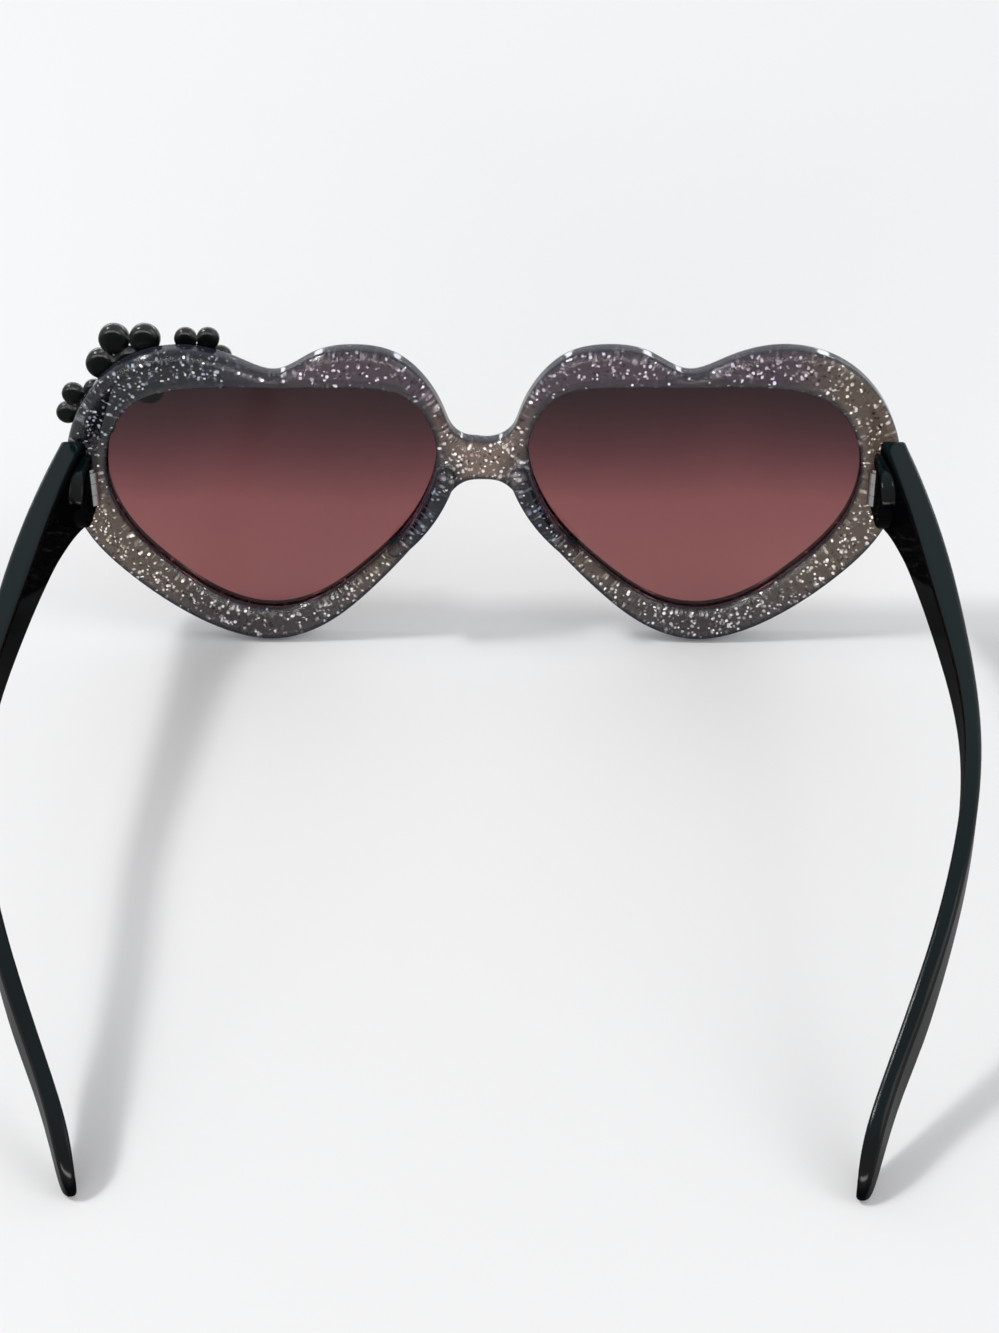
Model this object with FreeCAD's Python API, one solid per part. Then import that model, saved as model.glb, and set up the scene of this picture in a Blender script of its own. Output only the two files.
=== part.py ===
import FreeCAD, Part
import math
import os

from FreeCAD import Vector

# Drawing frame, in millimetres: X across the face, Y the way the wearer looks, Z up from the heart tips.
# The rear face of the front lies at Y = 0. The finished glasses are leaned to rest on a table at the end.

# Front
FRONT_WIDTH = 132.8
FRONT_HEIGHT = 52.2
FRONT_DEPTH = 4.2
OUTER_EDGE_ROUND = 1.2
OPENING_EDGE_ROUND = 0.7
BRIDGE_SPAN = 9.0
BRIDGE_HEIGHT = 6.6
BRIDGE_FILLET = 1.7

# Width of the rim on each side of a lens opening
RIM_NOSE = 2.8
RIM_TEMPLE = 6.4
RIM_TOP = 6.3
RIM_BOTTOM = 6.0

# Outline of one heart from above the bridge, over the lobes and the cleft between them, down the
# temple side to the tip and up the nose side, as shares of the heart's width and height
CLEFT_SHARES = (0.449, 0.921)
HEART_SHARES = [
    (0.023, 0.790), (0.073, 0.900), (0.145, 0.975), (0.244, 1.000), (0.354, 0.975),
    CLEFT_SHARES,
    (0.541, 0.958), (0.695, 1.000), (0.837, 0.952), (0.945, 0.822), (1.000, 0.623),
    (0.965, 0.391), (0.869, 0.243), (0.719, 0.096), (0.590, 0.019),
    (0.493, 0.000),
    (0.389, 0.031), (0.234, 0.172), (0.105, 0.345), (0.036, 0.465),
]
# Middle of the bridge as a share of the height, its flat part as a share of the span, its sag as a share
# of the fillet
BRIDGE_MIDDLE_SHARE = 0.634
BRIDGE_FLAT_SHARE = 0.58
BRIDGE_SAG_SHARE = 0.2
# Largest edge rounds, as shares of the wall between the cleft and the opening below it
OUTER_ROUND_SHARE = 0.62
OPENING_ROUND_SHARE = 0.36

# Outline of one lens opening, as shares of its own width and height
OPENING_SHARES = [
    (0.000, 0.710), (0.025, 0.860), (0.094, 0.964), (0.205, 0.998), (0.490, 1.000), (0.753, 0.994),
    (0.894, 0.935), (0.975, 0.797), (1.000, 0.634), (0.955, 0.413), (0.820, 0.197), (0.668, 0.050),
    (0.530, 0.000), (0.393, 0.040), (0.232, 0.194), (0.090, 0.398), (0.020, 0.580),
]

# Lenses, held in a groove round each opening
LENS_THICKNESS = 1.6
LENS_SEAT = 0.8
SEAT_CLEARANCE = 0.03

# Nose pads moulded on the rear of the nose side rims: start, middle and end as shares of the heart
NOSE_PAD_RADIUS = 1.6
NOSE_PAD_SETBACK = 0.9
NOSE_PAD_SHARES = [(0.021, 0.594), (0.061, 0.483), (0.154, 0.349)]

# Temples, drawn on the right side
TEMPLE_LENGTH = 123.0
TEMPLE_GAP = 0.15
TEMPLE_OVERHANG = 0.1
TEMPLE_BELOW_TOP = 15.0
TEMPLE_FRONT_HEIGHT = 14.5
TEMPLE_HEIGHT = 5.55
TEMPLE_HEIGHT_FADE = 22.0
TEMPLE_THICKNESS = 3.9
TEMPLE_TIP_THICKNESS = 2.35
THIN_FROM = 25.0
THIN_OVER = 45.0
TEMPLE_EDGE_ROUND = 0.65
TEMPLE_END_ROUND = 0.4
TEMPLE_ROUND_SHARE = 0.9
TEMPLE_SLOPE = 7.0
BOW = 3.0
BOW_AT = 40.0
CURL_INSET = 13.8
CURL_POWER = 2.83
TIP_LENGTH = 13.6
TIP_TURN_SHARE = 0.56
EAR_AT = 70.5
EAR_RADIUS = 66.0
EAR_SLOPE = 38.0
TIP_ROUND = 5.0
TIP_LAST_ANGLE = 86.0

# Hinge bosses: a pad with a round rear end on the inner face of each temple, which covers the hinge leaf
BOSS_LENGTH = 11.1
BOSS_WALL = 1.3
BOSS_COVER = 0.5
BOSS_ROUND = 0.5

# Hinges: a barrel of three knuckles behind each end of the front
HINGE_INSET = 4.2
HINGE_SETBACK = 2.2
HINGE_BELOW_TEMPLE_TOP = 10.0
BARREL_RADIUS = 1.35
KNUCKLE_HEIGHT = 1.8
MIDDLE_KNUCKLE_HEIGHT = 2.0
KNUCKLE_GAP = 0.06
LEAF_THICKNESS = 1.0
FRONT_TANG_COVER = 1.8
TEMPLE_TANG = 5.0
TANG_SINK = 0.6
NOTCH_CLEARANCE = 0.3

# Hinge screws
SCREW_RADIUS = 0.6
SCREW_HEAD_RADIUS = 1.05
SCREW_HEAD_HEIGHT = 0.5
SCREW_SLOT = 0.3
SCREW_FIT = 0.02
SCREW_RUNNING = 0.04

# Flowers on the front face, one line each: distance in from the left side of the front, distance down
# from its top, radius of the ring of petal centres, turn of the first petal in degrees
FLOWERS = {
    "flower_large": (11.3, 4.2, 4.8, 60.0),
    "flower_small_top": (21.9, 2.9, 3.5, 60.0),
    "flower_small_side": (3.8, 12.0, 3.5, 9.6),
}
PETALS = 6
FLOWER_GAP = 0.02
FLOWER_CLEARANCE = 0.1
# Radius of a petal, of the disc that joins the petals and of the bead on it, as shares of the ring's radius
PETAL_RADIUS_SHARE = 0.51
DISC_RADIUS_SHARE = 0.62
BEAD_RADIUS_SHARE = 0.36
# Heights and edge round, as shares of the petal radius
PETAL_HEIGHT_SHARE = 1.0
DISC_HEIGHT_SHARE = 0.8
BEAD_HEIGHT_SHARE = 1.2
FLOWER_ROUND_SHARE = 0.35

HEART_INNER = BRIDGE_SPAN / 2
HEART_WIDTH = FRONT_WIDTH / 2 - HEART_INNER
CLEFT_WALL = RIM_TOP - (1 - CLEFT_SHARES[1]) * FRONT_HEIGHT
LENS_REAR = (FRONT_DEPTH - LENS_THICKNESS) / 2
LENS_FRONT = LENS_REAR + LENS_THICKNESS
TEMPLE_OUTER = FRONT_WIDTH / 2 + TEMPLE_OVERHANG
TEMPLE_TOP = FRONT_HEIGHT - TEMPLE_BELOW_TOP
HINGE_X = FRONT_WIDTH / 2 - HINGE_INSET
HINGE_Y = -HINGE_SETBACK
STACK_LOW = TEMPLE_TOP - HINGE_BELOW_TEMPLE_TOP
STACK_TOP = STACK_LOW + 2 * KNUCKLE_HEIGHT + MIDDLE_KNUCKLE_HEIGHT + 2 * KNUCKLE_GAP
MIDDLE_LOW = STACK_LOW + KNUCKLE_HEIGHT + KNUCKLE_GAP
MIDDLE_TOP = MIDDLE_LOW + MIDDLE_KNUCKLE_HEIGHT
SCREW_TOP = STACK_TOP + SCREW_HEAD_HEIGHT
LEAF_OUTER = HINGE_X + BARREL_RADIUS
LEAF_INNER = LEAF_OUTER - LEAF_THICKNESS
NOTCH_DEPTH = HINGE_SETBACK + BARREL_RADIUS + NOTCH_CLEARANCE


def box(low, high):
    """Block between two opposite corners."""
    size = Vector(*high) - Vector(*low)
    return Part.makeBox(size.x, size.y, size.z, Vector(*low))


def grown(low, high, margin):
    """The same block, larger by a margin on every side."""
    return box([c - margin for c in low], [c + margin for c in high])


def upright_cylinder(radius, low, high):
    """Cylinder on the right hinge's axis."""
    return Part.makeCylinder(radius, high - low, Vector(HINGE_X, HINGE_Y, low))


def mirrored(shape):
    """The left hand copy of a right hand piece."""
    return shape.mirror(Vector(0, 0, 0), Vector(1, 0, 0))


def slab(wire, rear, front):
    """Solid between two depths with the outline of a wire drawn at Y = 0."""
    face = Part.Face(wire)
    face.translate(Vector(0, rear, 0))
    return face.extrude(Vector(0, front - rear, 0))


def closed_curve(points, grow=0.0):
    """Smooth closed outline through points given as X and Z, drawn clockwise, moved outwards where asked."""
    places = [Vector(x, 0, z) for x, z in points]
    curve = Part.BSplineCurve()
    curve.interpolate(Points=places, PeriodicFlag=True)
    if grow:
        tangents = [curve.tangent(curve.parameter(place))[0] for place in places]
        moved = [(at.x - grow * along.z, at.z + grow * along.x) for at, along in zip(places, tangents)]
        return closed_curve(moved)
    return Part.Wire(curve.toShape())


def heart_place(shares):
    """Place on the right heart, given as shares of its width and height."""
    return HEART_INNER + shares[0] * HEART_WIDTH, shares[1] * FRONT_HEIGHT


def front_outline():
    """Closed outline of the two hearts and the bridge between them."""
    low = BRIDGE_MIDDLE_SHARE * FRONT_HEIGHT - BRIDGE_HEIGHT / 2
    high = low + BRIDGE_HEIGHT
    flat = BRIDGE_FLAT_SHARE * HEART_INNER
    sag = BRIDGE_SAG_SHARE * BRIDGE_FILLET
    right = [(flat, high + sag), (HEART_INNER, high + BRIDGE_FILLET)]
    right += [heart_place(shares) for shares in HEART_SHARES]
    right += [(HEART_INNER, low - BRIDGE_FILLET), (flat, low - sag)]
    left = [(-x, z) for x, z in reversed(right)]
    return closed_curve([(0, high)] + right + [(0, low)] + left)


def opening_outline(grow=0.0):
    """Closed outline of the right lens opening, grown outwards where asked."""
    left = HEART_INNER + RIM_NOSE
    width = FRONT_WIDTH / 2 - RIM_TEMPLE - left
    height = FRONT_HEIGHT - RIM_TOP - RIM_BOTTOM
    return closed_curve([(left + a * width, RIM_BOTTOM + b * height) for a, b in OPENING_SHARES], grow)


def nose_pad():
    """Right nose pad: a rounded ridge along the nose side of the rim."""
    places = [heart_place(shares) for shares in NOSE_PAD_SHARES]
    start, middle, end = [Vector(x, -NOSE_PAD_SETBACK, z) for x, z in places]
    arc = Part.Arc(start, middle, end)
    section = Part.Wire(Part.makeCircle(NOSE_PAD_RADIUS, start, arc.tangent(arc.FirstParameter)[0]))
    ridge = Part.Wire(arc.toShape()).makePipeShell([section], True, True)
    return ridge.fuse([Part.makeSphere(NOSE_PAD_RADIUS, place) for place in (start, end)])


def front_frame():
    """Front with both hearts, the bridge, lens grooves, nose pads and hinge slots."""
    body = slab(front_outline(), 0, FRONT_DEPTH)
    rims = [edge for edge in body.Edges if edge.BoundBox.YLength < 1e-6]
    body = body.makeFillet(min(OUTER_EDGE_ROUND, OUTER_ROUND_SHARE * CLEFT_WALL), rims)
    opening = slab(opening_outline(), 0, FRONT_DEPTH)
    body = body.cut([opening, mirrored(opening)])
    openings = [edge for edge in body.Edges if edge.isClosed()]
    body = body.makeFillet(min(OPENING_EDGE_ROUND, OPENING_ROUND_SHARE * CLEFT_WALL), openings)
    body = body.fuse([nose_pad(), mirrored(nose_pad())])
    behind_opening = slab(opening_outline(), -FRONT_DEPTH, 0)
    groove = slab(opening_outline(LENS_SEAT), LENS_REAR - SEAT_CLEARANCE, LENS_FRONT + SEAT_CLEARANCE)
    slot = grown(*front_tang_corners(), SEAT_CLEARANCE)
    cuts = [behind_opening, groove, slot]
    return body.cut(cuts + [mirrored(cut) for cut in cuts])


def lens():
    """Right lens: a flat plate that reaches into the groove all round."""
    return slab(opening_outline(LENS_SEAT - SEAT_CLEARANCE), LENS_REAR, LENS_FRONT)


def ease(value, start, length):
    """Smooth step from 0 to 1 over a length."""
    share = min(max((value - start) / length, 0.0), 1.0)
    return share * share * (3 - 2 * share)


def temple_outer(back):
    """Plan of the outer face: bowed out at first, then curling in, and turning partly back at the tip."""
    widest = TEMPLE_OUTER + BOW
    if back < BOW_AT:
        return widest - BOW * (1 - back / BOW_AT) ** 2
    tip_start = TEMPLE_LENGTH - TIP_LENGTH
    curl_length = tip_start - BOW_AT
    curl = CURL_INSET * ((min(back, tip_start) - BOW_AT) / curl_length) ** CURL_POWER
    along_tip = max(back - tip_start, 0.0)
    steepest = CURL_INSET * CURL_POWER / curl_length
    return widest - curl - steepest * along_tip * (1 - (1 - TIP_TURN_SHARE) * along_tip / (2 * TIP_LENGTH))


def temple_inner(back):
    """Plan of the inner face: one thickness in from the outer face, and thinner towards the tip."""
    thinning = (TEMPLE_THICKNESS - TEMPLE_TIP_THICKNESS) * ease(back, THIN_FROM, THIN_OVER)
    return temple_outer(back) - TEMPLE_THICKNESS + thinning


def temple_slope(back):
    """Angle of the temple below level: straight, round the ear in an arc, then straight to the tip."""
    rise = (back - EAR_AT) / EAR_RADIUS + math.sin(math.radians(TEMPLE_SLOPE))
    if back < EAR_AT:
        return math.radians(TEMPLE_SLOPE)
    return math.asin(min(rise, math.sin(math.radians(EAR_SLOPE))))


def temple_top(back):
    """Height of the temple's top edge."""
    first, last = math.radians(TEMPLE_SLOPE), math.radians(EAR_SLOPE)
    angle = temple_slope(back)
    bend_end = EAR_AT + EAR_RADIUS * (math.sin(last) - math.sin(first))
    straight = min(back, EAR_AT) * math.tan(first)
    bend = EAR_RADIUS * (math.cos(first) - math.cos(angle))
    tip = max(back - bend_end, 0.0) * math.tan(last)
    return TEMPLE_TOP - straight - bend - tip


def temple_section(back, fullness):
    """Rounded rectangle across the temple, shrunk about its centre towards the tip's end."""
    swell = (TEMPLE_FRONT_HEIGHT - TEMPLE_HEIGHT) * math.exp(-back / TEMPLE_HEIGHT_FADE)
    high = (TEMPLE_HEIGHT + swell) / math.cos(temple_slope(back))
    half_height = high * fullness / 2
    half_width = (temple_outer(back) - temple_inner(back)) * math.sqrt(fullness) / 2
    x = (temple_outer(back) + temple_inner(back)) / 2
    z = temple_top(back) - high / 2
    radius = min(TEMPLE_EDGE_ROUND, TEMPLE_ROUND_SHARE * half_width, TEMPLE_ROUND_SHARE * half_height)
    edges = []
    corner = [(1, 1), (-1, 1), (-1, -1), (1, -1)]
    for number, (sx, sz) in enumerate(corner):
        centre = Vector(x + sx * (half_width - radius), -back, z + sz * (half_height - radius))
        start = math.radians(90 * number)
        turn = [centre + Vector(math.cos(start + a), 0, math.sin(start + a)) * radius
                for a in (0, math.pi / 4, math.pi / 2)]
        next_sx, next_sz = corner[(number + 1) % 4]
        next_centre = Vector(x + next_sx * (half_width - radius), -back, z + next_sz * (half_height - radius))
        edges.append(Part.Arc(*turn).toShape())
        edges.append(Part.makeLine(turn[2], next_centre + (turn[2] - centre)))
    return Part.Wire(edges)


def spread(start, end, count):
    """Evenly spaced values from start to end."""
    return [start + (end - start) * number / (count - 1) for number in range(count)]


def hinge_boss():
    """Right hinge boss, rooted in the middle of the temple's thickness."""
    low = STACK_LOW - NOTCH_CLEARANCE - BOSS_WALL
    high = SCREW_TOP + NOTCH_CLEARANCE + BOSS_WALL
    radius = (high - low) / 2
    inner = HINGE_X - BOSS_COVER
    root = TEMPLE_OUTER - TEMPLE_THICKNESS / 2
    end_centre = Vector(inner, radius - BOSS_LENGTH, (low + high) / 2)
    block = box((inner, end_centre.y, low), (root, -TEMPLE_GAP - TEMPLE_END_ROUND, high))
    end = Part.makeCylinder(radius, root - inner, end_centre, Vector(1, 0, 0))
    boss = block.fuse(end).removeSplitter()
    edges = [edge for edge in boss.Edges if edge.BoundBox.XMax < inner + SEAT_CLEARANCE]
    return boss.makeFillet(BOSS_ROUND, edges)


def temple():
    """Right temple with its hinge boss, the notch for the barrel and the slot for the hinge leaf."""
    plain = TEMPLE_LENGTH - TIP_ROUND
    stations = spread(TEMPLE_GAP, BOW_AT, 8)
    stations += spread(BOW_AT, plain, 9)[1:]
    sections = [temple_section(back, 1.0) for back in stations]
    for angle in spread(0, TIP_LAST_ANGLE, 6)[1:]:
        turn = math.radians(angle)
        sections.append(temple_section(plain + TIP_ROUND * math.sin(turn), math.cos(turn)))
    body = Part.makeLoft(sections, True, False)
    front_end = [edge for edge in body.Edges if edge.BoundBox.YMin > -TEMPLE_GAP - SEAT_CLEARANCE]
    body = body.makeFillet(TEMPLE_END_ROUND, front_end).fuse(hinge_boss())
    notch = box((HINGE_X - TEMPLE_THICKNESS, -NOTCH_DEPTH, STACK_LOW - NOTCH_CLEARANCE),
                (LEAF_OUTER + NOTCH_CLEARANCE, 0, SCREW_TOP + NOTCH_CLEARANCE))
    slots = [grown(*corners, SEAT_CLEARANCE) for corners in temple_tang_corners()]
    return body.cut([notch] + slots)


def front_tang_corners():
    """Opposite corners of the plate that is set into the front."""
    return (LEAF_INNER, 0, STACK_LOW), (LEAF_OUTER, FRONT_DEPTH - FRONT_TANG_COVER, STACK_TOP)


def temple_tang_corners():
    """Opposite corners of the neck and the plate that are set into the temple."""
    plate_front = -NOTCH_DEPTH - TANG_SINK
    neck = (LEAF_INNER, plate_front, MIDDLE_LOW), (LEAF_OUTER, HINGE_Y, MIDDLE_TOP)
    plate = (LEAF_INNER, -NOTCH_DEPTH - TEMPLE_TANG, STACK_LOW), (LEAF_OUTER, plate_front, STACK_TOP)
    return neck, plate


def front_hinge_leaf():
    """Right front leaf: upper and lower knuckles on necks that join a plate inside the front."""
    low, high = front_tang_corners()
    leaf = box((LEAF_INNER, TANG_SINK, low[2]), high)
    for level in (STACK_LOW, STACK_TOP - KNUCKLE_HEIGHT):
        neck = box((LEAF_INNER, HINGE_Y, level), (LEAF_OUTER, TANG_SINK, level + KNUCKLE_HEIGHT))
        leaf = leaf.fuse([neck, upright_cylinder(BARREL_RADIUS, level, level + KNUCKLE_HEIGHT)])
    return leaf.cut(upright_cylinder(SCREW_RADIUS + SCREW_FIT, STACK_LOW, STACK_TOP)).removeSplitter()


def temple_hinge_leaf():
    """Right temple leaf: the middle knuckle on a neck that joins a plate inside the temple."""
    neck, plate = [box(*corners) for corners in temple_tang_corners()]
    leaf = plate.fuse([neck, upright_cylinder(BARREL_RADIUS, MIDDLE_LOW, MIDDLE_TOP)])
    return leaf.cut(upright_cylinder(SCREW_RADIUS + SCREW_RUNNING, MIDDLE_LOW, MIDDLE_TOP)).removeSplitter()


def hinge_screw():
    """Right hinge screw: a plain shank and a slotted head on the top knuckle."""
    shank = upright_cylinder(SCREW_RADIUS, STACK_LOW, STACK_TOP)
    screw = shank.fuse(upright_cylinder(SCREW_HEAD_RADIUS, STACK_TOP, SCREW_TOP)).removeSplitter()
    slot = box((HINGE_X - SCREW_SLOT / 2, HINGE_Y - SCREW_HEAD_RADIUS, SCREW_TOP - SCREW_SLOT),
               (HINGE_X + SCREW_SLOT / 2, HINGE_Y + SCREW_HEAD_RADIUS, SCREW_TOP))
    return screw.cut(slot)


def pebble(x, z, radius, rear, height, round_by):
    """Flat disc facing forwards with rounded edges."""
    disc = Part.makeCylinder(radius, height, Vector(x, rear, z), Vector(0, 1, 0))
    rims = [edge for edge in disc.Edges if edge.isClosed()]
    return disc.makeFillet(round_by, rims)


def petal_places(inset, drop, ring, turn):
    """Middle of a flower on the front, and the centres of its petals round it."""
    x, z = inset - FRONT_WIDTH / 2, FRONT_HEIGHT - drop
    angles = [math.radians(turn + 360 * number / PETALS) for number in range(PETALS)]
    return (x, z), [(x + ring * math.cos(angle), z + ring * math.sin(angle)) for angle in angles]


def flower(inset, drop, ring, turn):
    """One moulded flower: rounded petals joined by a lower disc with a bead in its middle."""
    rear = FRONT_DEPTH + FLOWER_GAP
    radius = PETAL_RADIUS_SHARE * ring
    edge = FLOWER_ROUND_SHARE * radius
    middle, places = petal_places(inset, drop, ring, turn)
    petals = [pebble(*place, radius, rear, PETAL_HEIGHT_SHARE * radius, edge) for place in places]
    bead = pebble(*middle, BEAD_RADIUS_SHARE * ring, rear, BEAD_HEIGHT_SHARE * radius, edge)
    disc = pebble(*middle, DISC_RADIUS_SHARE * ring, rear, DISC_HEIGHT_SHARE * radius, edge)
    return disc.fuse(petals + [bead]).removeSplitter()


def petal_room(inset, drop, ring, turn):
    """Space that a flower's petals take in front of the frame, with clearance for its neighbours."""
    radius = PETAL_RADIUS_SHARE * ring
    places = [Vector(x, FRONT_DEPTH, z) for x, z in petal_places(inset, drop, ring, turn)[1]]
    return [Part.makeCylinder(radius + FLOWER_CLEARANCE, 2 * radius, place, Vector(0, 1, 0)) for place in places]


def lowest(shape, lean):
    """Lowest height of a shape leaned about X."""
    leaned = shape.copy()
    leaned.rotate(Vector(0, 0, 0), Vector(1, 0, 0), lean)
    return leaned.optimalBoundingBox(False).ZMin


def resting_lean(front, right_temple):
    """Lean that brings the heart tips and the temple tips to one level."""
    lean = 0.0
    for _ in range(5):
        above = lowest(right_temple, lean) - lowest(front, lean)
        lean += math.degrees(math.atan2(above, TEMPLE_LENGTH))
    return lean


right_pieces = {
    "lens": lens(),
    "temple": temple(),
    "front_hinge_leaf": front_hinge_leaf(),
    "temple_hinge_leaf": temple_hinge_leaf(),
    "hinge_screw": hinge_screw(),
}
nodes = {"front_frame": front_frame()}
for name, shape in right_pieces.items():
    nodes[name + "_right"] = shape
    nodes[name + "_left"] = mirrored(shape)
for name, sizes in FLOWERS.items():
    nodes[name] = flower(*sizes)
for name in ("flower_small_top", "flower_small_side"):
    nodes[name] = nodes[name].cut(petal_room(*FLOWERS["flower_large"]))

lean = resting_lean(nodes["front_frame"], nodes["temple_right"])
for shape in nodes.values():
    shape.rotate(Vector(0, 0, 0), Vector(1, 0, 0), lean)
bounds = Part.makeCompound(list(nodes.values())).optimalBoundingBox(False)
to_origin = Vector(0, -(bounds.YMin + bounds.YMax) / 2, -bounds.ZMin)

os.makedirs("parts", exist_ok=True)
for name, shape in nodes.items():
    shape.translate(to_origin)
    shape.exportStep("parts/" + name + ".step")

hinge = FreeCAD.Rotation(Vector(1, 0, 0), lean).multVec(Vector(HINGE_X, HINGE_Y, MIDDLE_LOW)) + to_origin
axis = FreeCAD.Rotation(Vector(1, 0, 0), lean).multVec(Vector(0, 0, 1))
print("lean", round(lean, 4), "origin moved by", to_origin)
print("right hinge at", hinge, "along", axis)
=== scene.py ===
import math
import random

import bpy
from mathutils import Matrix, Vector
from mathutils.bvhtree import BVHTree


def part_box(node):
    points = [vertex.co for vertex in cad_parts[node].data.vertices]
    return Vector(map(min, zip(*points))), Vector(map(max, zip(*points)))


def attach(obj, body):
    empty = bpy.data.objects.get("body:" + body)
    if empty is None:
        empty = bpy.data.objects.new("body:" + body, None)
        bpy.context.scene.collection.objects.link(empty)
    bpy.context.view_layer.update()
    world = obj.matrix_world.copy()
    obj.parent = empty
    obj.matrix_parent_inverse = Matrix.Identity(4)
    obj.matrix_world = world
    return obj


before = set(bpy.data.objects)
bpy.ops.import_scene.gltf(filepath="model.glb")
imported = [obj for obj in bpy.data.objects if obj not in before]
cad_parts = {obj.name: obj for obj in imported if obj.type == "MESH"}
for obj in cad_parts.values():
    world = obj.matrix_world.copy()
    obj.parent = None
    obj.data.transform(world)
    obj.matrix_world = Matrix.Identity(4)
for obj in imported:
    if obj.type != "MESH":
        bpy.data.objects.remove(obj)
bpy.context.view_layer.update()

MM = 0.001


def tint(red, green, blue):
    return red, green, blue, 1.0


def grey(value):
    return tint(value, value, value)


# Camera, set where the photograph was taken from
PHOTO_HEIGHT = 1333
FOCAL_PIXELS = 2351.5
SENSOR = 36.0
NEAREST_SEEN = 10 * MM
CAMERA_PLACE = Vector((8.66, -266.37, 218.31)) * MM
CAMERA_PITCH = math.radians(34.62)
CAMERA_YAW = math.radians(1.10)
CAMERA_ROLL = math.radians(-0.529)

# How far the gloss runs round the edges of each moulding
FRONT_ROUND = 2.2 * MM
TEMPLE_ROUND = 0.8 * MM
FLOWER_ROUND = 1.0 * MM
ROUND_SAMPLES = 8

# Where the colours, painted shade and painted surroundings of the front change: heights above the table, and
# distances from the middle of the bridge
LOWER_RIM = (4 * MM, 16 * MM)
UPPER_RIM = (30 * MM, 36 * MM)
BRIDGE_REACH = (4 * MM, 10 * MM)
PAINTED_PLUM_HEIGHT = (20 * MM, 45 * MM)
PAINTED_PLUM_REACH = (46 * MM, 58 * MM)
PAD_ASIDE, PAD_ABOVE = 8.6 * MM, 25.5 * MM
PAD_REACH = (3 * MM, 14 * MM)
PAD_NARROWING = math.sqrt(3.0)
FLOWER_PAINTED_SHADE_REACH = (10 * MM, 26 * MM)

# Colours of the front, with its painted shade, painted highlight and painted surroundings, and how strongly some
# of them cover it
WARM_DEEP, WARM_PALE = tint(0.36, 0.28, 0.22), tint(0.48, 0.39, 0.32)
LOWER_RIM_TINT = tint(0.25, 0.22, 0.24)
BRIDGE_TINT = tint(0.72, 0.56, 0.48)
# Painted surroundings: plum over the upper front stands in for dark violet surroundings seen through the clear
# plastic
PLUM_PAINTED_SURROUNDINGS = tint(0.26, 0.19, 0.27)
# Painted shade: dark navy over the thick, curved nose pads
PAD_PAINTED_SHADE = tint(0.035, 0.040, 0.070)
# Painted shade: dark blue round the large flower, where the black flowers show through the clear rim
FLOWER_PAINTED_SHADE = tint(0.05, 0.075, 0.12)
FLOWER_PAINTED_SHADE_COVER = 0.85
# Painted highlight: a pale line along the upper lips of the openings
LIP_PAINTED_HIGHLIGHT = tint(0.55, 0.58, 0.66)
LIP_HIGHLIGHT_COVER = 0.6
# Painted shade: dark edges on the front, where its rounded sides turn away
EDGE_SHADE_DEEP, EDGE_SHADE_PALE = tint(0.010, 0.012, 0.020), tint(0.022, 0.026, 0.040)
EDGE_SHADE_COVER = 0.85
SMOKE = tint(0.58, 0.54, 0.51)
SMOKE_DENSITY = 850.0

# Glitter in the front
DUST_SILVER = tint(0.85, 0.84, 0.82)
DUST_SCALE = 3000.0
DUST_ABOVE = 0.988
FLAKES = 2800
FLAKE_RADIUS = (0.16 * MM, 0.31 * MM)
FLAKE_THICKNESS = 0.03 * MM
FLAKE_DEPTH = 0.33 * MM
FLAKE_TILT = 0.9
FLAKE_TONES = (0.9, 0.5)
FLAKE_DARKEST, FLAKE_TONE_SPAN = 0.10, 0.88
FLAKE_WARMTH = 0.98
# Painted glints: the brighter flakes glow with this light of their own
FLAKE_PAINTED_GLOW = tint(0.86, 0.94, 1.0)
FLAKE_SEED = 7
UPRIGHT = Matrix.Rotation(math.radians(90), 3, "X")
RAY_WAYS = (Vector((0.31, 0.24, 0.92)).normalized(), Vector((-0.42, -0.17, 0.89)).normalized())
RAY_STEP = 0.001 * MM

# Lens colours from bottom to top
LENS_TINTS = [(0.0, tint(0.31, 0.115, 0.115)), (0.5, tint(0.25, 0.085, 0.088)),
              (0.78, tint(0.115, 0.038, 0.043)), (1.0, tint(0.028, 0.012, 0.014))]
LENS_START, LENS_END = 1 * MM, 3 * MM
LENS_WAVER = 6 * MM

# Black mouldings, with a painted reflection on the temple tops
TEMPLE_BLACK, TEMPLE_PAINTED_REFLECTION = tint(0.0012, 0.0014, 0.0018), tint(0.0015, 0.0075, 0.0090)
TEMPLE_OUTSIDE = (0.01, 0.03)
INNER_COAT, OUTER_COAT, MARKS_OFF_COAT = 0.035, 0.18, 0.015
TEMPLE_GLOSS = 0.34
FLOWER_BLACK, FLOWER_PALE = tint(0.0012, 0.0014, 0.0014), tint(0.0035, 0.0040, 0.0040)
PETAL_TOP_GLOSS, PETAL_FRONT_GLOSS = 0.6, 0.3

# Stage
FLOOR_SIZE = 3.0
FLOOR_LEVEL = -0.2 * MM
FLOOR_GREY = 0.84
SKY = tint(0.97, 0.98, 1.0)
SKY_LIGHT, SKY_SEEN = 0.55, 0.88
WHITE, COOL_WHITE = (1, 1, 1), (0.92, 0.97, 1.0)
LAMP_AIM = Vector((0, 0.03, 0.02))
# Lamps, one line each: place, width, height, power and colour
LAMPS = {
    "key": ((-1.5, 0.0, 2.25), 0.9, 0.6, 16.0, WHITE),
    "glint": ((-1.26, -0.15, 1.86), 0.27, 0.2, 12.0, WHITE),
    "low": ((0.0, 6.6, 1.6), 8.8, 0.5, 104.0, COOL_WHITE),
    "fill": ((2.1, -0.9, 1.8), 1.5, 1.5, 13.5, WHITE),
    "strip": ((-1.2, -6.6, 1.32), 7.2, 0.72, 192.0, WHITE),
}


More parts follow.
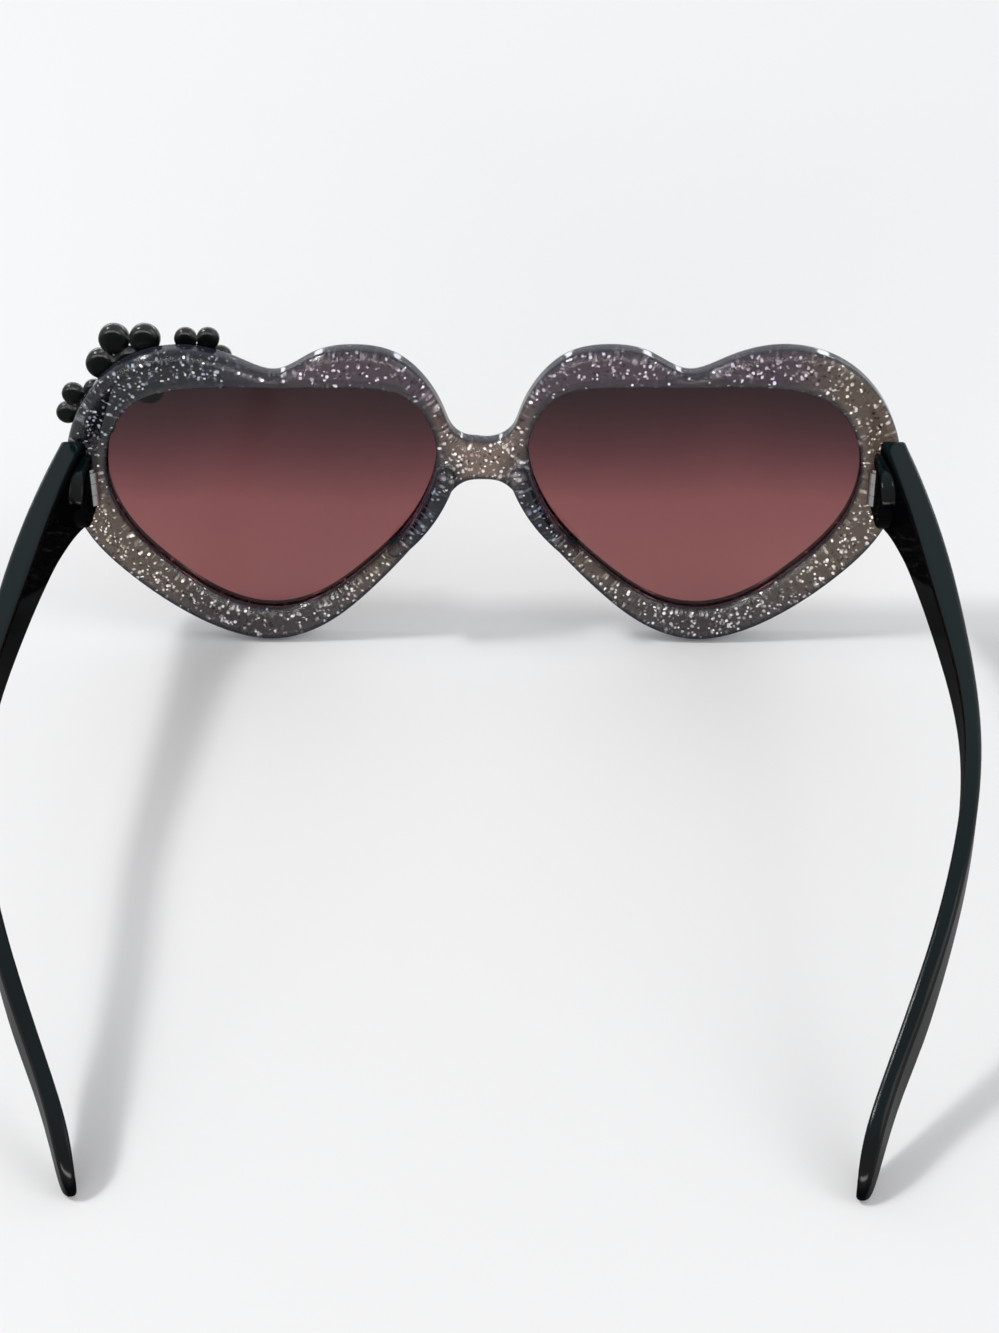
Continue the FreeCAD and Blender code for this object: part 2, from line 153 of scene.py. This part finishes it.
class Field:
    """A shader value that can be used in arithmetic."""

    def __init__(self, tree, socket):
        self.tree = tree
        self.socket = socket

    def math(self, operation, first, second):
        return self.tree.add("ShaderNodeMath", {"operation": operation}, {0: first, 1: second})

    def __add__(self, other):
        return self.math("ADD", self, other)

    def __radd__(self, other):
        return self.math("ADD", other, self)

    def __sub__(self, other):
        return self.math("SUBTRACT", self, other)

    def __rsub__(self, other):
        return self.math("SUBTRACT", other, self)

    def __mul__(self, other):
        return self.math("MULTIPLY", self, other)

    def __rmul__(self, other):
        return self.math("MULTIPLY", other, self)

    def __gt__(self, other):
        return self.math("GREATER_THAN", self, other)

    def __abs__(self):
        return self.math("ABSOLUTE", self, 0.0)


class Nodes:
    """The nodes of a material or of the world, added one by one."""

    def __init__(self, owner):
        owner.use_nodes = True
        self.nodes = owner.node_tree.nodes
        self.links = owner.node_tree.links
        self.nodes.clear()

    def add(self, kind, settings, inputs, output=0):
        """Adds one node: its settings first, then the values or links of its sockets."""
        node = self.nodes.new(kind)
        for key, value in settings.items():
            if key == "stops":
                ramp = node.color_ramp.elements
                while len(ramp) < len(value):
                    ramp.new(0.5)
                for element, (position, colour) in zip(ramp, value):
                    element.position = position
                    element.color = colour
            else:
                setattr(node, key, value)
        for key, value in inputs.items():
            if isinstance(value, Field):
                self.links.new(value.socket, node.inputs[key])
            else:
                node.inputs[key].default_value = value
        if node.outputs:
            return Field(self, node.outputs[output])

    def smooth(self, value, low, high):
        """0 below low, 1 above high, and a smooth step between."""
        return self.add("ShaderNodeMapRange", {"interpolation_type": "SMOOTHSTEP"},
                        {"Value": value, "From Min": low, "From Max": high}, "Result")


class Finish(Nodes):
    """One material, with what the recipes share."""

    def __init__(self, name):
        self.material = bpy.data.materials.new(name)
        super().__init__(self.material)
        self.place = self.add("ShaderNodeTexCoord", {}, {}, "Object")

    def noise(self, scale, detail=3.0, rough=0.5):
        return self.add("ShaderNodeTexNoise", {}, {"Vector": self.place, "Scale": scale, "Detail": detail,
                                                   "Roughness": rough}, "Fac")

    def blend(self, mask, first, second):
        """Colour that goes from first to second as the mask goes from 0 to 1."""
        return self.add("ShaderNodeMix", {"data_type": "RGBA"}, {0: mask, 6: first, 7: second}, 2)

    def part(self, vector, axis):
        return self.add("ShaderNodeSeparateXYZ", {}, {0: vector}, axis)

    def rounded(self, radius):
        """Which way the surface faces, with its edges rounded."""
        return self.add("ShaderNodeBevel", {"samples": ROUND_SAMPLES}, {"Radius": radius})

    def spot(self, aside, above, reach):
        """1 within the nearer distance of a place, 0 past the farther one."""
        near, far = reach
        return 1 - self.smooth(aside * aside + above * above, near ** 2, far ** 2)

    def shader(self, **sockets):
        return self.add("ShaderNodeBsdfPrincipled", {},
                        {key.replace("_", " "): value for key, value in sockets.items()})

    def mix(self, mask, first, second):
        """Shader that goes from first to second as the mask goes from 0 to 1."""
        return self.add("ShaderNodeMixShader", {}, {0: mask, 1: first, 2: second})

    def done(self, surface, **filling):
        """Ends the material in its surface, and in what fills the piece where that matters."""
        self.add("ShaderNodeOutputMaterial", {}, {"Surface": surface, **filling})
        return self.material


# Materials
def front_colour(finish, under, upper):
    """Smoky plastic: warm low down, a painted plum above standing in for dark surroundings seen through it, pale
    at the bridge, painted shade on the nose pads and by the flowers, and a painted highlight along the upper
    lips.
    """
    x, z = finish.part(finish.place, "X"), finish.part(finish.place, "Z")
    bridge = 1 - finish.smooth(abs(x), *BRIDGE_REACH)
    # Painted surroundings: plum over the upper rims, away from the bridge and the outer flanks
    painted_plum = finish.smooth(z, *PAINTED_PLUM_HEIGHT) * (1 - bridge) * (1 - finish.smooth(abs(x), *PAINTED_PLUM_REACH))
    # Painted shade on the nose pads
    pad_shade = finish.spot((abs(x) - PAD_ASIDE) * PAD_NARROWING, z - PAD_ABOVE, PAD_REACH)
    low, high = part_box("flower_large")
    # Painted shade round the large flower
    flower_shade = finish.spot(x - (low.x + high.x) / 2, z - (low.z + high.z) / 2, FLOWER_PAINTED_SHADE_REACH)
    colour = finish.blend(finish.noise(90.0, 2.0), WARM_DEEP, WARM_PALE)
    colour = finish.blend(finish.smooth(z, *LOWER_RIM), LOWER_RIM_TINT, colour)
    colour = finish.blend(bridge, colour, BRIDGE_TINT)
    colour = finish.blend(painted_plum, colour, PLUM_PAINTED_SURROUNDINGS)
    colour = finish.blend(pad_shade, colour, PAD_PAINTED_SHADE)
    colour = finish.blend(flower_shade * FLOWER_PAINTED_SHADE_COVER, colour, FLOWER_PAINTED_SHADE)
    # Painted highlight along the downward-facing edges of the upper rims
    return finish.blend(under * upper * LIP_HIGHLIGHT_COVER, colour, LIP_PAINTED_HIGHLIGHT)


def glitter_plastic():
    """Clear smoky plastic with a little silver dust, painted shade on its edges, and a painted highlight along
    the upper lips of its openings.
    """
    finish = Finish("glitter_plastic")
    rounded = finish.rounded(FRONT_ROUND)
    upper = finish.smooth(finish.part(finish.place, "Z"), *UPPER_RIM)
    side = finish.smooth(abs(finish.part(rounded, "Y")), 0.30, 0.74)
    under = finish.smooth(0 - finish.part(rounded, "Z"), 0.06, 0.40)
    upward = finish.smooth(finish.part(rounded, "Z"), 0.0, 0.3)
    # Painted shade on the sides and on the undersides below the upper rim, as a dark opaque surface
    edge_shade_mask = 1 - side * (1 - under * (1 - upper))
    dust = finish.add("ShaderNodeTexVoronoi", {}, {"Vector": finish.place, "Scale": DUST_SCALE}, "Color")
    speck = finish.part(dust, "X") > DUST_ABOVE
    colour = finish.blend(speck, front_colour(finish, under, upper), DUST_SILVER)
    clear = finish.shader(Base_Color=colour, Metallic=speck * 0.9, Roughness=0.015 + speck * 0.2,
                          Transmission_Weight=0.95, IOR=1.46, Normal=rounded)
    edge_shade_colour = finish.blend(finish.noise(700.0), EDGE_SHADE_DEEP, EDGE_SHADE_PALE)
    edge_shade_surface = finish.shader(Base_Color=edge_shade_colour, Roughness=0.15, Specular_IOR_Level=0.0, Coat_Weight=0.8 * upward,
                         Coat_Roughness=0.05, Normal=rounded)
    smoke = finish.add("ShaderNodeVolumeAbsorption", {}, {"Color": SMOKE, "Density": SMOKE_DENSITY})
    return finish.done(finish.mix(edge_shade_mask * EDGE_SHADE_COVER, clear, edge_shade_surface), Volume=smoke)


def glitter_flake():
    """Silver foil, each flake with its own brightness, the brighter ones glowing as painted glints."""
    finish = Finish("glitter_flake")
    tone = finish.add("ShaderNodeVertexColor", {"layer_name": "tone"}, {}, "Color")
    spark = finish.smooth(finish.part(tone, "X"), 0.45, 1.0)
    # Painted glints: flakes brighter than the middle tone glow
    painted_glow = finish.blend(spark, grey(0.0), FLAKE_PAINTED_GLOW)
    return finish.done(finish.shader(Base_Color=tone, Metallic=1.0, Roughness=0.2, Emission_Color=painted_glow,
                                     Emission_Strength=2.4))


def tinted_lens():
    """Mauve lens, darker towards its top."""
    finish = Finish("tinted_lens")
    low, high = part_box("lens_right")
    height = finish.part(finish.place, "Z") + finish.noise(35.0) * LENS_WAVER
    level = finish.smooth(height, low.z + LENS_START, high.z + LENS_END)
    colour = finish.add("ShaderNodeValToRGB", {"stops": LENS_TINTS}, {"Fac": level}, "Color")
    return finish.done(finish.shader(Base_Color=colour, Roughness=0.03, Transmission_Weight=1.0, IOR=1.3))


def black_temple():
    """Black moulding, glossy above with a painted reflection as a cold green cast on its tops, duller inside,
    with faint handling marks.
    """
    finish = Finish("black_temple")
    haze = finish.noise(160.0, 4.0)
    marks = finish.smooth(finish.noise(900.0, 6.0, 0.7), 0.55, 0.75)
    rounded = finish.rounded(TEMPLE_ROUND)
    lift = finish.part(rounded, "Z")
    # Painted reflection: tops facing up turn from black to cold teal
    colour = finish.blend(finish.smooth(lift, 0.6, 1.0), TEMPLE_BLACK, TEMPLE_PAINTED_REFLECTION)
    facing = finish.add("ShaderNodeTexCoord", {}, {}, "Normal")
    outer = finish.smooth(finish.part(facing, "X") * finish.part(finish.place, "X"), *TEMPLE_OUTSIDE)
    coat = INNER_COAT - MARKS_OFF_COAT * marks + outer * OUTER_COAT
    dull = finish.shader(Base_Color=colour, Roughness=0.3 + 0.1 * haze, Specular_IOR_Level=0.0,
                         Coat_Weight=coat, Coat_Roughness=0.05)
    bright = finish.shader(Base_Color=colour, Roughness=0.10 + 0.06 * marks, Specular_IOR_Level=0.45,
                           Normal=rounded)
    return finish.done(finish.mix(TEMPLE_GLOSS * finish.smooth(lift, 0.2, 0.5), dull, bright))


def black_flower():
    """Black moulding, glossy on the tops and fronts of its petals."""
    finish = Finish("black_flower")
    rounded = finish.rounded(FLOWER_ROUND)
    haze = finish.noise(300.0, 3.0)
    colour = finish.blend(haze, FLOWER_BLACK, FLOWER_PALE)
    dull = finish.shader(Base_Color=colour, Roughness=0.16 + 0.08 * haze, Specular_IOR_Level=0.10,
                         Normal=rounded)
    bright = finish.shader(Base_Color=colour, Roughness=0.05 + 0.05 * haze, Specular_IOR_Level=0.8,
                           Normal=rounded)
    lift = finish.smooth(finish.part(rounded, "Z"), 0.15, 0.40)
    ahead = finish.smooth(finish.part(rounded, "Y"), 0.0, 0.5)
    gloss = 1 - (1 - PETAL_TOP_GLOSS * lift) * (1 - PETAL_FRONT_GLOSS * ahead)
    return finish.done(finish.mix(gloss, dull, bright))


def hinge_steel():
    """Drawn steel, with fine lines along the barrel."""
    finish = Finish("hinge_steel")
    stretched = finish.add("ShaderNodeMapping", {}, {"Vector": finish.place, "Scale": (1.0, 1.0, 0.08)})
    drawn = finish.add("ShaderNodeTexNoise", {}, {"Vector": stretched, "Scale": 6000.0, "Detail": 3.0}, "Fac")
    colour = finish.blend(drawn, grey(0.2), grey(0.42))
    return finish.done(finish.shader(Base_Color=colour, Metallic=1.0, Roughness=0.2 + 0.2 * drawn))


# Glitter flakes
def model_flake():
    """One flake as by hand: a thin six sided plate, dished by an inset top."""
    bpy.ops.object.select_all(action="DESELECT")
    bpy.ops.mesh.primitive_cylinder_add(vertices=6, radius=1.0, depth=1.0)
    flake = bpy.context.object
    bpy.ops.object.mode_set(mode="EDIT")
    bpy.ops.mesh.select_mode(type="FACE")
    bpy.ops.mesh.select_all(action="DESELECT")
    bpy.ops.object.mode_set(mode="OBJECT")
    for face in flake.data.polygons:
        face.select = face.normal.z > 0.9
    bpy.ops.object.mode_set(mode="EDIT")
    bpy.ops.mesh.inset(thickness=0.18)
    bpy.ops.transform.translate(value=(0, 0, -0.25))
    bpy.ops.object.mode_set(mode="OBJECT")
    return flake


def crossings(tree, place, way):
    """How many times a ray from a place goes through the surface."""
    count = 0
    while True:
        hit = tree.ray_cast(place, way)[0]
        if hit is None:
            return count
        count += 1
        place = hit + way * RAY_STEP


def scatter_flakes():
    """Copies of one flake inside the front, joined into one piece."""
    pattern = model_flake()
    corners = [vertex.co.copy() for vertex in pattern.data.vertices]
    sides = [tuple(face.vertices) for face in pattern.data.polygons]
    bpy.data.objects.remove(pattern)
    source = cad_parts["front_frame"].data
    tree = BVHTree.FromPolygons([vertex.co for vertex in source.vertices],
                                [tuple(face.vertices) for face in source.polygons])
    low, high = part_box("front_frame")
    chance = random.Random(FLAKE_SEED)
    points, faces, tones = [], [], []
    while len(points) < FLAKES * len(corners):
        place = Vector([chance.uniform(low[axis], high[axis]) for axis in range(3)])
        gap = tree.find_nearest(place)[3]
        radius = chance.uniform(*FLAKE_RADIUS)
        turn = Matrix.Rotation(chance.uniform(0, 2 * math.pi), 3, "Z")
        tilt = Matrix.Rotation(chance.gauss(0, FLAKE_TILT), 3, "X")
        spin = Matrix.Rotation(chance.uniform(0, 2 * math.pi), 3, "Y")
        tone = chance.betavariate(*FLAKE_TONES)
        if gap < FLAKE_DEPTH or not all(crossings(tree, place, way) % 2 for way in RAY_WAYS):
            continue
        pose = spin @ tilt @ UPRIGHT @ turn
        start = len(points)
        for corner in corners:
            flat = Vector((corner.x * radius, corner.y * radius, corner.z * FLAKE_THICKNESS))
            points.append(place + pose @ flat)
        faces += [tuple(start + index for index in side) for side in sides]
        tones += [tone] * len(corners)
    mesh = bpy.data.meshes.new("glitter_flakes")
    mesh.from_pydata(points, [], faces)
    layer = mesh.color_attributes.new("tone", "FLOAT_COLOR", "POINT")
    for index, tone in enumerate(tones):
        value = FLAKE_DARKEST + FLAKE_TONE_SPAN * tone
        layer.data[index].color = tint(value, value, FLAKE_WARMTH * value)
    mesh.materials.append(glitter_flake())
    piece = bpy.data.objects.new("glitter_flakes", mesh)
    bpy.context.scene.collection.objects.link(piece)
    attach(piece, "front")


# Stage
def pale_floor():
    bpy.ops.object.select_all(action="DESELECT")
    bpy.ops.mesh.primitive_plane_add(size=FLOOR_SIZE, location=(0, 0, FLOOR_LEVEL))
    floor = bpy.context.object
    floor.name = "floor"
    finish = Finish("floor_pale")
    pale = finish.shader(Base_Color=grey(FLOOR_GREY), Roughness=0.9, Specular_IOR_Level=0.1)
    floor.data.materials.append(finish.done(pale))


def soft_box(name, place, width, height, power, colour):
    """Softbox that faces the glasses."""
    light = bpy.data.lights.new(name, "AREA")
    light.shape = "RECTANGLE"
    light.size = width
    light.size_y = height
    light.energy = power
    light.color = colour
    lamp = bpy.data.objects.new(name, light)
    lamp.location = place
    lamp.rotation_euler = (LAMP_AIM - Vector(place)).to_track_quat("-Z", "Y").to_euler()
    bpy.context.scene.collection.objects.link(lamp)


def studio():
    """Pale surroundings, seen directly, in gloss and through glass, and dimmer as a light."""
    world = bpy.data.worlds.new("studio")
    bpy.context.scene.world = world
    sky = Nodes(world)
    direct, glossy, through = [sky.add("ShaderNodeLightPath", {}, {}, ray)
                               for ray in ("Is Camera Ray", "Is Glossy Ray", "Is Transmission Ray")]
    seen = sky.smooth(direct + glossy + through, 0.0, 1.0)
    strength = SKY_LIGHT + (SKY_SEEN - SKY_LIGHT) * seen
    backdrop = sky.add("ShaderNodeBackground", {}, {"Color": SKY, "Strength": strength})
    sky.add("ShaderNodeOutputWorld", {}, {"Surface": backdrop})
    for name, settings in LAMPS.items():
        soft_box(name, *settings)


def camera():
    """Camera at the photograph's place, with its slight roll."""
    along = math.cos(CAMERA_PITCH)
    forward = Vector((-math.sin(CAMERA_YAW) * along, math.cos(CAMERA_YAW) * along, -math.sin(CAMERA_PITCH)))
    level = forward.cross(Vector((0, 0, 1))).normalized()
    above = level.cross(forward)
    right = level * math.cos(CAMERA_ROLL) + above * math.sin(CAMERA_ROLL)
    up = above * math.cos(CAMERA_ROLL) - level * math.sin(CAMERA_ROLL)
    data = bpy.data.cameras.new("camera")
    data.sensor_fit = "VERTICAL"
    data.sensor_height = SENSOR
    data.lens = FOCAL_PIXELS / PHOTO_HEIGHT * SENSOR
    data.clip_start = NEAREST_SEEN
    view = bpy.data.objects.new("camera", data)
    turn = Matrix((right, up, -forward)).transposed().to_4x4()
    view.matrix_world = Matrix.Translation(CAMERA_PLACE) @ turn
    bpy.context.scene.collection.objects.link(view)
    bpy.context.scene.camera = view


# A node takes the first finish whose word is in its name
finishes = [("front_frame", glitter_plastic()), ("lens", tinted_lens()), ("flower", black_flower()),
            ("hinge", hinge_steel()), ("temple", black_temple())]
for name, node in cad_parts.items():
    node.data.materials.clear()
    node.data.materials.append(next(finish for word, finish in finishes if word in name))
scatter_flakes()
pale_floor()
studio()
camera()
bpy.context.scene.view_settings.view_transform = "Standard"
